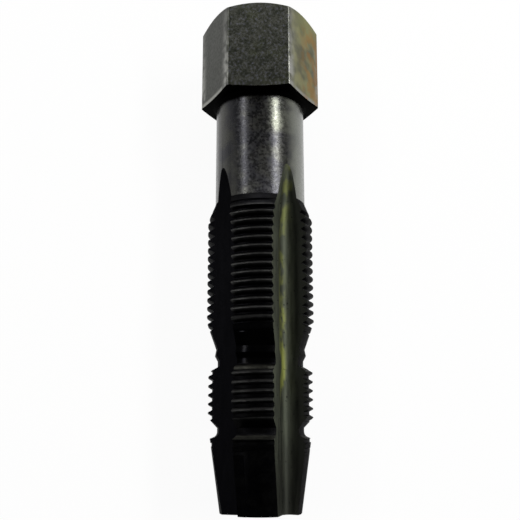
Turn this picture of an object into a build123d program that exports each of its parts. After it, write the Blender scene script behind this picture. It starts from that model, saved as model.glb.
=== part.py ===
"""Combined reamer and tap that recuts a 14 mm spark-plug hole for a thread insert.

One bar of tool steel, turned, fluted and thread-ground, with a hexagon head for a plug socket.
It lies along Y on one flat of its head: the tip points to -Y, the head to +Y, and Z is up.
Stations are distances along the tap from its tip.  Angles around it go from +Z towards +X.
"""

import os
from math import asin, ceil, cos, degrees, floor, radians, sin, tan

from build123d import *

# hexagon head, chamfered at both ends
hex_across_flats = 15.875
hex_edge_radius = 0.45
hex_face_chamfer_angle = 30.0
hex_seat_chamfer_angle = 12.0
head_underside_station = 60.05
head_height = 13.98
head_face_radius = 7.3
head_seat_radius = 7.25
head_root_chamfer = 0.5

# plain shank
shank_radius = 6.73

# long upper thread, which cuts the new thread for the insert
tap_radius = 7.81
tap_lead_radius = 6.40
tap_lead_station = 22.55
tap_full_station = 26.5
tap_back_station = 41.6
tap_run_down_station = 44.3

# short lower thread, which guides the tap in the worn hole
guide_radius = 7.50
guide_front_station = 12.9
guide_back_station = 19.3

# necks that part the reamer and the two threads, with a low bead ahead of the upper thread
neck_radius = 6.17
front_neck_station = 10.45
front_neck_length = 1.05
front_neck_rounding = 0.8
rear_neck_station = 20.05
rear_neck_length = 0.8
neck_bead_radius = 6.58
neck_bead_station = 21.65

# tapered reamer, which opens the old thread; each land bears on a narrow margin
reamer_tip_radius = 5.85
reamer_back_radius = 7.31
reamer_length = 10.0
reamer_margin_width = 1.5
reamer_relief = 0.12

# thread form; one right-hand helix runs through both threads
pitch = 1.25
thread_angle = 60.0
tap_root_flat = pitch / 8
tap_thread_depth = 0.66 * pitch
guide_root_flat = pitch / 3
guide_thread_depth = 0.44 * pitch
groove_station = 0.865
groove_overrun = 0.05

# straight flutes: a radial cutting face, a round root and a heel that leans back from it
flute_count = 4
cutting_face_angle = 60.0
flute_included_angle = 75.0
flute_vee_radius = 3.8
flute_root_radius = 1.0
cutter_feed_angle = 14.0
cutter_radius = 27.0
flute_full_depth_station = 37.0
flute_lift_out_angle = 40.0

# 60 degree centres that the bar was held between
centre_angle = 60.0
centre_mouth_radius = 1.6
centre_drill_radius = 0.6
centre_drill_depth = 2.6

head_top_station = head_underside_station + head_height
half_length = head_top_station / 2
axis_height = hex_across_flats / 2
hex_corner_radius = axis_height / cos(radians(30))


def along_axis(station):
    """The point on the tap's axis at a station."""
    return Vector(0, station - half_length, axis_height)


def section_plane(station, angle):
    """A plane across the tap, seen from its tip, with local Y pointing out at an angle."""
    turn = radians(angle)
    return Plane(along_axis(station), x_dir=(cos(turn), 0, -sin(turn)), z_dir=(0, -1, 0))


def lathe_plane(angle):
    """A plane through the axis: local X is the station, local Y the radius at an angle."""
    turn = radians(angle)
    return Plane(along_axis(0), x_dir=(0, 1, 0), z_dir=(cos(turn), 0, -sin(turn)))


tap_axis = Axis(along_axis(0), (0, 1, 0))
flute_turns = [flute * 360 / flute_count for flute in range(flute_count)]

# where the corners of the hexagon meet the cones turned on the two ends of the head
seat_slope = tan(radians(hex_seat_chamfer_angle))
face_slope = tan(radians(hex_face_chamfer_angle))
seat_chamfer = (hex_corner_radius - head_seat_radius) * seat_slope
face_chamfer = (hex_corner_radius - head_face_radius) * face_slope

# outline of the turned bar, from the tip's edge to the head, as points: station, radius
reamer_outline = [
    (0, reamer_tip_radius),
    (reamer_length, reamer_back_radius),
]
guide_outline = [
    (front_neck_station, neck_radius),
    (front_neck_station + front_neck_length, neck_radius),
    (guide_front_station, guide_radius),
    (guide_back_station, guide_radius),
]
rear_neck_outline = [
    (rear_neck_station, neck_radius),
    (rear_neck_station + rear_neck_length, neck_radius),
]
tap_outline = [
    (neck_bead_station, neck_bead_radius),
    (tap_lead_station, tap_lead_radius),
    (tap_full_station, tap_radius),
    (tap_back_station, tap_radius),
    (tap_run_down_station, shank_radius),
]
shank_outline = [
    (head_underside_station - head_root_chamfer, shank_radius),
    (head_underside_station, shank_radius + head_root_chamfer),
]

countersink_slope = tan(radians(centre_angle / 2))
countersink_depth = (centre_mouth_radius - centre_drill_radius) / countersink_slope

# a flute's cutting face and heel meet at its vee, inside the round of its root
vee_to_root_centre = flute_root_radius / sin(radians(flute_included_angle / 2))
flank_length = 1.5 * tap_radius
heel_offset = flute_vee_radius * sin(radians(flute_included_angle))
flute_arc = flute_included_angle - degrees(asin(heel_offset / tap_radius))
flute_middle_angle = cutting_face_angle - flute_arc / 2

# each land of the reamer is eased from the back of its margin
margin_end_angle = cutting_face_angle + degrees(reamer_margin_width / reamer_back_radius)
land_arc = 360 / flute_count - flute_arc
relief_slope = (reamer_back_radius - reamer_tip_radius) / reamer_length


def groove_turn(turn, root_radius, root_flat, depth):
    """One turn of the ground groove, from flute to flute, as the solid the wheel takes away."""
    start = along_axis(groove_station + turn * pitch)
    cut_depth = depth + groove_overrun
    root_half = root_flat / 2
    mouth_half = root_half + cut_depth * tan(radians(thread_angle / 2))
    with BuildPart() as groove:
        with BuildLine() as lead:
            Helix(pitch, pitch, root_radius, start, direction=(0, 1, 0))
        outward = (lead.line @ 0 - start).normalized()
        with BuildSketch(Plane(lead.line @ 0, x_dir=outward, z_dir=lead.line % 0)):
            with BuildLine():
                Polyline(
                    (0, -root_half),
                    (cut_depth, -mouth_half),
                    (cut_depth, mouth_half),
                    (0, root_half),
                    close=True,
                )
            make_face()
        sweep(path=lead.line, is_frenet=True)
    return groove.part.rotate(tap_axis, flute_middle_angle)


def groove_turns(front, back, crest_radius, root_flat, depth):
    """The turns of groove between two stations, at a depth below the crests."""
    first_turn = floor((front - groove_station) / pitch)
    last_turn = ceil((back - groove_station) / pitch)
    turns = range(first_turn, last_turn)
    return [groove_turn(turn, crest_radius - depth, root_flat, depth) for turn in turns]


with BuildPart() as tap_body:
    # hexagon bar, with a flat underneath and its long edges rounded
    with BuildSketch(section_plane(head_top_station, 0)):
        RegularPolygon(axis_height, side_count=6, major_radius=False)
    extrude(amount=head_height)
    fillet(edges().filter_by(Axis.Y), hex_edge_radius)

    # both ends of the head turned to a cone, which leaves arcs on its flats
    with BuildSketch(lathe_plane(0)):
        with BuildLine():
            Polyline(
                (head_underside_station, 0),
                (head_underside_station, head_seat_radius),
                (head_underside_station + seat_chamfer, hex_corner_radius),
                (head_top_station - face_chamfer, hex_corner_radius),
                (head_top_station, head_face_radius),
                (head_top_station, 0),
                close=True,
            )
        make_face()
    revolve(axis=tap_axis, mode=Mode.INTERSECT)

    # turned bar: the reamer's cone, barrels for the two threads, their necks and the shank
    with BuildSketch(lathe_plane(0)):
        with BuildLine():
            Polyline(
                (0, 0),
                *reamer_outline,
                *guide_outline,
                *rear_neck_outline,
                *tap_outline,
                *shank_outline,
                (head_top_station, 0),
                close=True,
            )
        make_face()
        neck_corner = vertices().sort_by_distance((front_neck_station, neck_radius))[0]
        fillet(neck_corner, front_neck_rounding)
    revolve(axis=tap_axis)

    # centres in both ends
    for end_station, inward in ((0, 1), (head_top_station, -1)):
        with BuildSketch(lathe_plane(0)):
            with BuildLine():
                Polyline(
                    (end_station, 0),
                    (end_station, centre_mouth_radius),
                    (end_station + inward * countersink_depth, centre_drill_radius),
                    (end_station + inward * centre_drill_depth, centre_drill_radius),
                    (end_station + inward * centre_drill_depth, 0),
                    close=True,
                )
            make_face()
        revolve(axis=tap_axis, mode=Mode.SUBTRACT)

    # reamer lands eased behind their margins
    for flute_turn in flute_turns:
        with BuildSketch(lathe_plane(margin_end_angle + flute_turn)):
            with BuildLine():
                relieved_tip = (-1, reamer_tip_radius - relief_slope - reamer_relief)
                relieved_back = (
                    reamer_length + 1,
                    reamer_back_radius + relief_slope - reamer_relief,
                )
                Polyline(
                    relieved_tip,
                    relieved_back,
                    (relieved_back[0], tap_radius),
                    (relieved_tip[0], tap_radius),
                    close=True,
                )
            make_face()
        revolve(axis=tap_axis, revolution_arc=land_arc, mode=Mode.SUBTRACT)

    # flutes: full depth from the tip, then rising out of the shank on the cutter's radius
    for flute_turn in flute_turns:
        face_plane = section_plane(flute_full_depth_station, cutting_face_angle + flute_turn)
        feed_plane = section_plane(flute_full_depth_station, cutter_feed_angle + flute_turn)
        root_centre = face_plane.from_local_coords(
            Vector(0, flute_vee_radius)
            + Vector(0, vee_to_root_centre).rotate(Axis.Z, flute_included_angle / 2)
        )
        arbor_centre = root_centre + feed_plane.y_dir * (cutter_radius - flute_root_radius)
        with BuildSketch(face_plane) as cutter:
            with BuildLine():
                face = PolarLine((0, flute_vee_radius), flank_length, 90)
                heel = PolarLine((0, flute_vee_radius), flank_length, 90 + flute_included_angle)
                Line(face @ 1, heel @ 1)
            make_face()
            fillet(cutter.vertices().sort_by_distance(face @ 0)[0], flute_root_radius)
        extrude(cutter.sketch, amount=flute_full_depth_station + 1, mode=Mode.SUBTRACT)
        revolve(
            cutter.sketch,
            Axis(arbor_centre, feed_plane.x_dir),
            flute_lift_out_angle,
            mode=Mode.SUBTRACT,
        )

    # thread grooves; the guide's dies away on the reamer, the tap's on the shank
    guide_groove_front = front_neck_station - 3 * pitch
    tap_groove_back = tap_run_down_station - pitch
    guide_grooves = groove_turns(
        guide_groove_front,
        rear_neck_station,
        guide_radius,
        guide_root_flat,
        guide_thread_depth,
    )
    tap_grooves = groove_turns(
        tap_lead_station,
        tap_groove_back,
        tap_radius,
        tap_root_flat,
        tap_thread_depth,
    )
    add(guide_grooves + tap_grooves, mode=Mode.SUBTRACT)

tap_body.part.label = "tap_body"
os.makedirs("parts", exist_ok=True)
export_step(tap_body.part, "parts/tap_body.step")
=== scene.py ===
from math import cos, hypot, radians, sin, tan

import bmesh
import bpy
from mathutils import Matrix, Vector


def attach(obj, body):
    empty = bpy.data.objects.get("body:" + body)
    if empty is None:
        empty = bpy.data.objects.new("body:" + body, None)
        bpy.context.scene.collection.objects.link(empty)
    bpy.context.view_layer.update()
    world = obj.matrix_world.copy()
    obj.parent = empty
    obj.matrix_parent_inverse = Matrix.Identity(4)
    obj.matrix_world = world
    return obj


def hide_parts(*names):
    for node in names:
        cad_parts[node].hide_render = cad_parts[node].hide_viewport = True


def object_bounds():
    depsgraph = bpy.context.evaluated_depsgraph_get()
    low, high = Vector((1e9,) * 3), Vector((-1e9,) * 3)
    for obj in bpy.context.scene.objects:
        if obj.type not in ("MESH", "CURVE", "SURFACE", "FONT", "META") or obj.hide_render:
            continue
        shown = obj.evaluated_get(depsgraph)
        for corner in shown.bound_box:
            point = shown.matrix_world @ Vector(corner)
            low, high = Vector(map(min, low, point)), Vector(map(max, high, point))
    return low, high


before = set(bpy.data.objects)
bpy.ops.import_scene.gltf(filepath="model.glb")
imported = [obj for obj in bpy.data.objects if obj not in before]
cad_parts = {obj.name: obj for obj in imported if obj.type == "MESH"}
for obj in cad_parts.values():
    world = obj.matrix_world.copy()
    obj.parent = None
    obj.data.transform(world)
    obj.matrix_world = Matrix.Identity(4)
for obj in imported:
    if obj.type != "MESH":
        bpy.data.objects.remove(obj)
cad_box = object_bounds()

# ---------------------------------------------------------------------------------------------
# The tap: one bar of high-speed steel, turned, fluted and thread-ground in one piece.  It has
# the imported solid's surface, merged so that the round parts shade as round, with every ground
# corner left crisp.  Sizes are in millimetres, and a station is a distance from the tip.
MM = 0.001
merge_distance = 0.0005 * MM
crease_angle = radians(26)
tap_length = (cad_box[1][1] - cad_box[0][1]) / MM
axis_height = (cad_box[1][2] - cad_box[0][2]) / 2 / MM

tap_bm = bmesh.new()
tap_bm.from_mesh(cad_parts["tap_body"].data)
bmesh.ops.remove_doubles(tap_bm, verts=tap_bm.verts, dist=merge_distance)
bmesh.ops.dissolve_degenerate(tap_bm, edges=tap_bm.edges, dist=merge_distance)
for face in tap_bm.faces:
    face.smooth = True
for edge in tap_bm.edges:
    edge.smooth = edge.is_manifold and edge.calc_face_angle(0) < crease_angle

# The steel has four finishes.  Only a flute's walls face partly round the axis or lie this
# deep, and only its rising end faces the tip past the station where the cutter starts to lift.
# Facets square to the axis, such as the tip's end, are ground or turned.  A lean is the part of
# a facet's normal that points round the axis or along it.
LANDS, FLUTES, SHANK, HEAD = range(4)
least_round_lean = 0.1
least_tipward_lean = 0.05
square_lean = 0.9
deepest_turned_radius = 5.75
flute_lift_station = 37.0
thread_root_radius = 6.95
thread_end_station = 44.3
head_root_station = 59.6
head_root_radius = 6.75
head_station = 60.05

tap_bm.normal_update()
for face in tap_bm.faces:
    centre = face.calc_center_median() / MM
    station = centre.y + tap_length / 2
    height = centre.z - axis_height
    radius = hypot(centre.x, height)
    round_axis = Vector((height, 0, -centre.x)) / radius
    round_lean = abs(face.normal.dot(round_axis))
    on_wall = round_lean > least_round_lean or radius < deepest_turned_radius
    past_full_depth = station > flute_lift_station and radius < thread_root_radius
    rising = past_full_depth and face.normal.y < -least_tipward_lean
    under_head = station > head_root_station and radius > head_root_radius
    if under_head or station > head_station:
        face.material_index = HEAD
    elif (on_wall or rising) and abs(face.normal.y) < square_lean:
        face.material_index = FLUTES
    elif station > thread_end_station:
        face.material_index = SHANK
    else:
        face.material_index = LANDS

tap_mesh = bpy.data.meshes.new("tap")
tap_bm.to_mesh(tap_mesh)
tap_bm.free()
tap = bpy.data.objects.new("tap", tap_mesh)
bpy.context.collection.objects.link(tap)
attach(tap, "root")
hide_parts("tap_body")


def linear(hex_colour):
    """An sRGB hex colour as the linear RGBA that a shader takes."""
    channels = [int(hex_colour[place:place + 2], 16) / 255 for place in (1, 3, 5)]
    return [c / 12.92 if c < 0.04045 else ((c + 0.055) / 1.055) ** 2.4 for c in channels] + [1.0]


def add_node(tree, kind, sockets=None, **settings):
    """Adds a shader node.  Each socket takes a value, a link, or a node's first output in use."""
    made = tree.nodes.new("ShaderNode" + kind)
    for name, value in settings.items():
        setattr(made, name, value)
    in_use = [socket for socket in made.inputs if socket.enabled]
    for key, value in (sockets or {}).items():
        socket = in_use[key] if isinstance(key, int) else next(s for s in in_use if s.name == key)
        if isinstance(value, bpy.types.Node):
            value = next(output for output in value.outputs if output.enabled)
        if isinstance(value, bpy.types.NodeSocket):
            tree.links.new(value, socket)
        else:
            socket.default_value = value
    return made


def new_finish(name):
    """An empty material in the tap's next slot, as its node tree."""
    material = bpy.data.materials.new(name)
    material.use_nodes = True
    material.node_tree.nodes.clear()
    tap_mesh.materials.append(material)
    return material.node_tree


def tap_space(tree):
    """Where a point lies on the tap, in mm: as a vector, then across, station, height, radius."""
    place = add_node(tree, "Mapping", {
        "Vector": add_node(tree, "TexCoord").outputs["Object"],
        "Location": (0, tap_length / 2, -axis_height),
        "Scale": (1 / MM, 1 / MM, 1 / MM),
    })
    across, station, height = add_node(tree, "SeparateXYZ", {0: place}).outputs
    spoke = add_node(tree, "CombineXYZ", {"X": across, "Z": height})
    radius = add_node(tree, "VectorMath", {0: spoke}, operation="LENGTH")
    return place, across, station, height, radius


def grain(tree, place, size, detail, squeeze=1):
    """Noise in cells of about a size in mm, squeezed along the tap, or drawn out if under 1."""
    drawn = add_node(tree, "Mapping", {"Vector": place, "Scale": (1, squeeze, 1)})
    return add_node(tree, "TexNoise", {"Vector": drawn, "Scale": 1 / size, "Detail": detail})


def cover(tree, most, *fades):
    """How much of a layer is there.  Each fade gives a measure, its value where the layer is
    gone, its value where the layer is whole and, if it never quite goes, the least that stays."""
    share = most
    for measure, gone, whole, *least in fades:
        fade = add_node(tree, "MapRange", {
            "Value": measure,
            "From Min": gone,
            "From Max": whole,
            "To Min": least[0] if least else 0.0,
        }, interpolation_type="SMOOTHSTEP")
        share = add_node(tree, "Math", {0: share, 1: fade}, operation="MULTIPLY")
    return share


def layer(tree, below, colour, most, *fades):
    """Lays a colour over the ones below it, where its fades leave it."""
    share = cover(tree, most, *fades)
    sockets = {"Factor": share, "A": below, "B": linear(colour)}
    return add_node(tree, "Mix", sockets, data_type="RGBA")


# High-speed steel, ground and then blackened: nearly black, grey on the crests of the threads from
# wear and from a painted highlight that widens their lit bands, rubbed to grey on the shoulders
# behind the reamer and the guide, and shiny on the rear neck.  The wheel's marks run round the
# tap.
# They are drawn 0.08 mm wide and 0.3 mm long, coarser than real ones, so that they show.
guide_front, guide_back, guide_crest_radius = 12.9, 19.3, 7.50
tap_front, tap_crest_radius = 26.5, 7.81
neck_front, neck_back = 20.0, 25.0
reamer_back = 10.0
tip_oxide = "#050506"
land_oxide = "#0a0a0c"
faded_oxide = "#151514"
crest_wear_and_highlight = "#3e3e3d"
rubbed_shoulder = "#383833"

tree = new_finish("ground_steel_black_oxide")
place, _, station, height, radius = tap_space(tree)
wear_and_sheen = (grain(tree, place, 0.9, 3), 0.25, 0.6, 0.5)
colour = layer(tree, linear(tip_oxide), land_oxide, 1.0, (station, 8, 30))
colour = layer(tree, colour, faded_oxide, 0.3, (grain(tree, place, 1.6, 3), 0.4, 0.7))
# Wear with painted highlight: the two crest layers paint grey over a band deeper than the crest,
# widening the lit crest bands.
colour = layer(tree, colour, crest_wear_and_highlight, 0.7, wear_and_sheen,
               (radius, guide_crest_radius - 0.5, guide_crest_radius - 0.1),
               (station, guide_front - 0.5, guide_front),
               (station, guide_back + 0.3, guide_back))
colour = layer(tree, colour, crest_wear_and_highlight, 1.0, wear_and_sheen,
               (radius, tap_crest_radius - 0.5, tap_crest_radius - 0.1),
               (station, tap_front - 1.2, tap_front))
colour = layer(tree, colour, rubbed_shoulder, 1.0, wear_and_sheen,
               (station, guide_back - 0.1, guide_back + 0.1),
               (station, neck_front, neck_front - 0.3))
colour = layer(tree, colour, rubbed_shoulder, 1.0, wear_and_sheen,
               (station, reamer_back - 0.1, reamer_back + 0.1),
               (station, reamer_back + 0.6, reamer_back + 0.3))
on_neck = cover(tree, 1.0, (station, neck_front, neck_front + 0.3),
                (station, neck_back, neck_back - 0.6), (height, 4.0, 5.0))
satin = add_node(tree, "MapRange", {
    "Value": grain(tree, place, 0.4, 2),
    "From Min": 0.3, "From Max": 0.7, "To Min": 0.36, "To Max": 0.50,
}, interpolation_type="SMOOTHSTEP")
marks = grain(tree, place, 0.3, 3, squeeze=4)
shader = add_node(tree, "BsdfPrincipled", {
    "Base Color": colour,
    "Metallic": 0.8,
    "Roughness": add_node(tree, "Mix", {"Factor": on_neck, "A": satin, "B": 0.16}),
    "Specular Tint": linear("#4c4c4c"),
    "Normal": add_node(tree, "Bump", {"Height": marks, "Distance": 0.008 * MM, "Strength": 0.5}),
})
add_node(tree, "OutputMaterial", {"Surface": shader})

# High-speed steel, milled: olive-grey and dull, in streaks along the cut, with a yellow-green
# bloom along each root where coolant dried and dark specks; painted shade darkens it toward the
# right edge and paints it black on the left.
bloom_angle = radians(46)
quarter_turn = radians(90)
olive_grey = "#464940"
pale_streak = "#5b5f52"
tip_grey = "#2a2a28"
dried_coolant = "#959a52"
dark_speck = "#161614"
painted_right_wall_shade = "#1a1b18"
painted_left_side_shade = "#0b0b0e"

tree = new_finish("milled_steel_thin_oxide")
place, across, station, height, _ = tap_space(tree)
angle = add_node(tree, "Math", {0: across, 1: height}, operation="ARCTAN2")
from_bloom = add_node(tree, "Math", {0: angle, 1: bloom_angle}, operation="SUBTRACT")
off_root = add_node(tree, "Math", {0: from_bloom, 1: quarter_turn / 2}, operation="PINGPONG")
streaks = grain(tree, place, 0.5, 3, squeeze=0.15)
blotches = grain(tree, place, 1.5, 5, squeeze=0.45)
specks = grain(tree, place, 0.45, 2)
colour = layer(tree, linear(olive_grey), pale_streak, 1.0, (streaks, 0.3, 0.7))
colour = layer(tree, colour, tip_grey, 0.7, (station, 16, 2))
colour = layer(tree, colour, dried_coolant, 0.9,
               (off_root, radians(14), radians(3)), (blotches, 0.44, 0.60),
               (station, 14, 18), (station, 36, 24, 0.5))
colour = layer(tree, colour, dark_speck, 0.8, (specks, 0.66, 0.74))
# Painted shade: darker toward the right edge, and black on the left, the side away from the
# stronger lamp.
colour = layer(tree, colour, painted_right_wall_shade, 0.9, (across, 4.1, 5.4))
colour = layer(tree, colour, painted_left_side_shade, 1.0, (across, 0.5, -1.5))
dull = add_node(tree, "MapRange", {
    "Value": streaks,
    "From Min": 0.2, "From Max": 0.8, "To Min": 0.56, "To Max": 0.68,
}, interpolation_type="SMOOTHSTEP")
shader = add_node(tree, "BsdfPrincipled", {
    "Base Color": colour,
    "Metallic": 0.85,
    "Roughness": dull,
    "Specular Tint": linear("#909090"),
    "Normal": add_node(tree, "Bump", {"Height": streaks, "Distance": 0.010 * MM, "Strength": 0.5}),
})
add_node(tree, "OutputMaterial", {"Surface": shader})

# High-speed steel, turned, under worn oxide: satin, with 0.4 mm pits that break up its
# highlights.  Right of its middle it has painted highlight in clouds, along its right side painted
# light, and in the corner under the head painted shade, black but for the right side.
worn_oxide = "#343437"
paler_oxide = "#42423f"
pitted_oxide = "#565653"
painted_highlight_patches = "#696b61"
painted_right_side_light = "#7d7f79"
painted_corner_shade = "#060606"

tree = new_finish("turned_steel_worn_oxide")
place, across, station, _, _ = tap_space(tree)
patches = grain(tree, place, 2.5, 3)
pits = grain(tree, place, 0.4, 3)
highlight_clouds = grain(tree, place, 4.5, 2)
colour = layer(tree, linear(worn_oxide), paler_oxide, 1.0, (patches, 0.35, 0.65))
colour = layer(tree, colour, pitted_oxide, 0.25, (pits, 0.5, 0.75))
# Painted highlight: pale clouds right of the middle, where the right lamp's streak lies.
colour = layer(tree, colour, painted_highlight_patches, 0.7, (highlight_clouds, 0.45, 0.6), (across, 0.8, 2.0))
# Painted light: paler along the right side, the side the stronger lamp lights.
colour = layer(tree, colour, painted_right_side_light, 0.8, (across, 3.5, 6.5))
# Painted shade: black in the corner under the head, except toward the right.
colour = layer(tree, colour, painted_corner_shade, 1.0,
               (station, head_root_station - 0.6, head_root_station - 0.1), (across, 4.5, 2.0))
satin = add_node(tree, "MapRange", {
    "Value": pits,
    "From Min": 0.3, "From Max": 0.7, "To Min": 0.22, "To Max": 0.34,
}, interpolation_type="SMOOTHSTEP")
shader = add_node(tree, "BsdfPrincipled", {
    "Base Color": colour,
    "Metallic": 1.0,
    "Roughness": satin,
    "Normal": add_node(tree, "Bump", {"Height": pits, "Distance": 0.008 * MM, "Strength": 0.16}),
})
add_node(tree, "OutputMaterial", {"Surface": shader})

# High-speed steel, drawn as hexagon bar, under spotted oxide: dull grey with olive and bluish
# spots and rubbed bright along its corners.  Its lower edges are light from wear and from a
# painted highlight where a rounded edge would catch the light, and underneath it is painted black
# as shade, with its specular tint darkened there too.  Its right side is stained olive, with rust
# toward the outer corner, and is duller there.
seat_slope = tan(radians(12))
seat_radius = 7.25
side_face_angle = radians(60)
dull_oxide = "#393b34"
pale_spot = "#4a4b44"
olive_cast = "#454839"
bluish_grain = "#52525e"
left_face_oxide = "#373833"
olive_stain = "#828160"
rubbed_corner = "#9b9b96"
edge_wear_and_highlight = "#93938d"
end_stain = "#86885c"
rust = "#94692f"
painted_seat_shade = "#030303"

tree = new_finish("hexagon_steel_spotted_oxide")
place, across, station, height, radius = tap_space(tree)
fine = grain(tree, place, 0.4, 3)
spots = grain(tree, place, 1.3, 3)
casts = grain(tree, place, 3.0, 2)
rust_patches = grain(tree, place, 1.9, 4)
sideways = add_node(tree, "Math", {0: across}, operation="ABSOLUTE")
folded = add_node(tree, "VectorMath", {0: place}, operation="ABSOLUTE")
side_normal = (sin(side_face_angle), 0, cos(side_face_angle))
outward = add_node(tree, "VectorMath", {0: folded, 1: side_normal}, operation="DOT_PRODUCT")
seat = add_node(tree, "Math", {
    0: radius,
    1: seat_slope,
    2: head_station - seat_radius * seat_slope,
}, operation="MULTIPLY_ADD")
above_seat = add_node(tree, "Math", {0: station, 1: seat}, operation="SUBTRACT")
side_face = (outward, axis_height - 0.44, axis_height - 0.14)
right_face = (side_face, (height, -4.0, 0.5))
underneath = (above_seat, 0.05, 0.02)

colour = layer(tree, linear(dull_oxide), pale_spot, 1.0, (spots, 0.35, 0.62))
colour = layer(tree, colour, olive_cast, 0.7, (casts, 0.5, 0.7))
colour = layer(tree, colour, bluish_grain, 0.7, (fine, 0.5, 0.75))
colour = layer(tree, colour, left_face_oxide, 0.9, (across, -4.4, -4.7), side_face)
colour = layer(tree, colour, olive_stain, 1.0,
               (across, 4.4, 5.5), (casts, 0.35, 0.6, 0.4), *right_face)
colour = layer(tree, colour, rubbed_corner, 0.8,
               (radius, 8.3, 8.95), (sideways, 4.35, 4.60),
               (spots, 0.35, 0.6, 0.15), (station, 72, 62, 0.35))
# Wear with painted highlight: light along the lower edges, just above the seat.
colour = layer(tree, colour, edge_wear_and_highlight, 0.9, (above_seat, 0.8, 0.3), (height, 6.8, 6.2))
colour = layer(tree, colour, end_stain, 0.5, (across, 5.0, 6.5), (station, 69, 72), *right_face)
colour = layer(tree, colour, rust, 0.55,
               (across, 5.6, 7.8), (rust_patches, 0.42, 0.60), (station, 73.5, 71.0), *right_face)
# Painted shade: black under the head, where the light does not reach.
colour = layer(tree, colour, painted_seat_shade, 1.0, underneath)
satin = add_node(tree, "MapRange", {
    "Value": fine,
    "From Min": 0.3, "From Max": 0.7, "To Min": 0.30, "To Max": 0.44,
}, interpolation_type="SMOOTHSTEP")
stained = cover(tree, 1.0, (across, 4.8, 6.5), *right_face)
shader = add_node(tree, "BsdfPrincipled", {
    "Base Color": colour,
    "Metallic": 0.95,
    "Roughness": add_node(tree, "Mix", {"Factor": stained, "A": satin, "B": 0.6}),
    # Painted shade: the specular tint is darkened under the head as well.
    "Specular Tint": layer(tree, linear("#e9e9e9"), "#404040", 1.0, underneath),
    "Normal": add_node(tree, "Bump", {"Height": fine, "Distance": 0.010 * MM, "Strength": 0.4}),
})
add_node(tree, "OutputMaterial", {"Surface": shader})

# ---------------------------------------------------------------------------------------------
# The sheet of white paper that the tap lies on, 2 m square.  It shows white to the eye and in
# the steel, and still takes the tap's soft shadow.
floor_size = 2.0
floor_whiteness = 0.94

floor_bm = bmesh.new()
bmesh.ops.create_grid(floor_bm, x_segments=1, y_segments=1, size=floor_size / 2)
floor_mesh = bpy.data.meshes.new("floor")
floor_bm.to_mesh(floor_mesh)
floor_bm.free()
floor = bpy.data.objects.new("floor", floor_mesh)
bpy.context.collection.objects.link(floor)

# White paper, matt.
paper = bpy.data.materials.new("white_paper")
paper.use_nodes = True
tree = paper.node_tree
tree.nodes.clear()
path = add_node(tree, "LightPath").outputs
seen = add_node(tree, "Math", {
    0: path["Is Camera Ray"],
    1: path["Is Glossy Ray"],
}, operation="MAXIMUM")
seen = add_node(tree, "Math", {0: seen, 1: path["Is Transmission Ray"]}, operation="MAXIMUM")
sheet = add_node(tree, "MixShader", {
    0: add_node(tree, "Math", {0: seen, 1: floor_whiteness}, operation="MULTIPLY"),
    1: add_node(tree, "BsdfDiffuse", {"Color": linear("#f0f0ee")}),
    2: add_node(tree, "Emission", {"Color": linear("#ffffff"), "Strength": 1.0}),
})
add_node(tree, "OutputMaterial", {"Surface": sheet})
floor_mesh.materials.append(paper)

# ---------------------------------------------------------------------------------------------
# Studio light: a long soft box on either side of the tap, a wide one beyond its head, and a
# pale room that darkens overhead and behind the camera.
scene = bpy.context.scene
tap_middle = Vector((0, 0, axis_height * MM))


def soft_box(name, place, width, length, watts):
    """A lamp that faces the middle of the tap, its length along the tap.  Sizes are in metres."""
    lamp = bpy.data.lights.new(name, "AREA")
    lamp.shape = "RECTANGLE"
    lamp.size = width
    lamp.size_y = length
    lamp.energy = watts
    box = bpy.data.objects.new(name, lamp)
    away = (Vector(place) - tap_middle).normalized()
    side = Vector((0, 1, 0)).cross(away).normalized()
    turn = Matrix((side, away.cross(side), away)).transposed().to_4x4()
    box.matrix_world = Matrix.Translation(place) @ turn
    scene.collection.objects.link(box)


soft_box("right_box", (0.28, 0.12, 0.30), 0.045, 0.45, 1.5)
soft_box("left_box", (-0.26, 0.12, 0.30), 0.04, 0.45, 0.6)
soft_box("far_box", (0.0, 0.50, 0.30), 0.40, 0.20, 1.6)

world = bpy.data.worlds.new("room")
world.use_nodes = True
scene.world = world
tree = world.node_tree
tree.nodes.clear()
facing = add_node(tree, "TexCoord").outputs["Generated"]
direction = add_node(tree, "SeparateXYZ", {0: facing}).outputs
walls = cover(tree, 1.0, (direction["Z"], 0.55, 0.0, 0.03), (direction["Y"], -0.6, 0.8, 0.08))
room = add_node(tree, "MixShader", {
    0: add_node(tree, "LightPath").outputs["Is Camera Ray"],
    1: add_node(tree, "Background", {"Color": linear("#ffffff"), "Strength": walls}),
    2: add_node(tree, "Background", {"Color": linear("#ffffff"), "Strength": 1.0}),
})
add_node(tree, "OutputWorld", {"Surface": room})

# ---------------------------------------------------------------------------------------------
# The camera looks almost straight down from close above the tip, so the tap narrows toward its
# head.  It stands a little to the right of the tap, and its film is shifted toward the head.
camera_height = 101.249
camera_station = 11.025
camera_tilt = radians(11.887)
camera_side = radians(1.48)
camera_roll = radians(-0.131)

camera = bpy.data.cameras.new("camera")
camera.sensor_width = 36
camera.lens = 48.343
camera.shift_x = -0.0005
camera.shift_y = 0.047
camera.clip_start = 0.002
tripod = bpy.data.objects.new("camera", camera)
scene.collection.objects.link(tripod)
tripod.matrix_world = (
    Matrix.Translation(tap_middle)
    @ Matrix.Rotation(camera_side, 4, "Y")
    @ Matrix.Translation((0, (camera_station - tap_length / 2) * MM, camera_height * MM))
    @ Matrix.Rotation(camera_tilt, 4, "X")
    @ Matrix.Rotation(camera_roll, 4, "Z")
)
scene.camera = tripod

scene.view_settings.view_transform = "Standard"
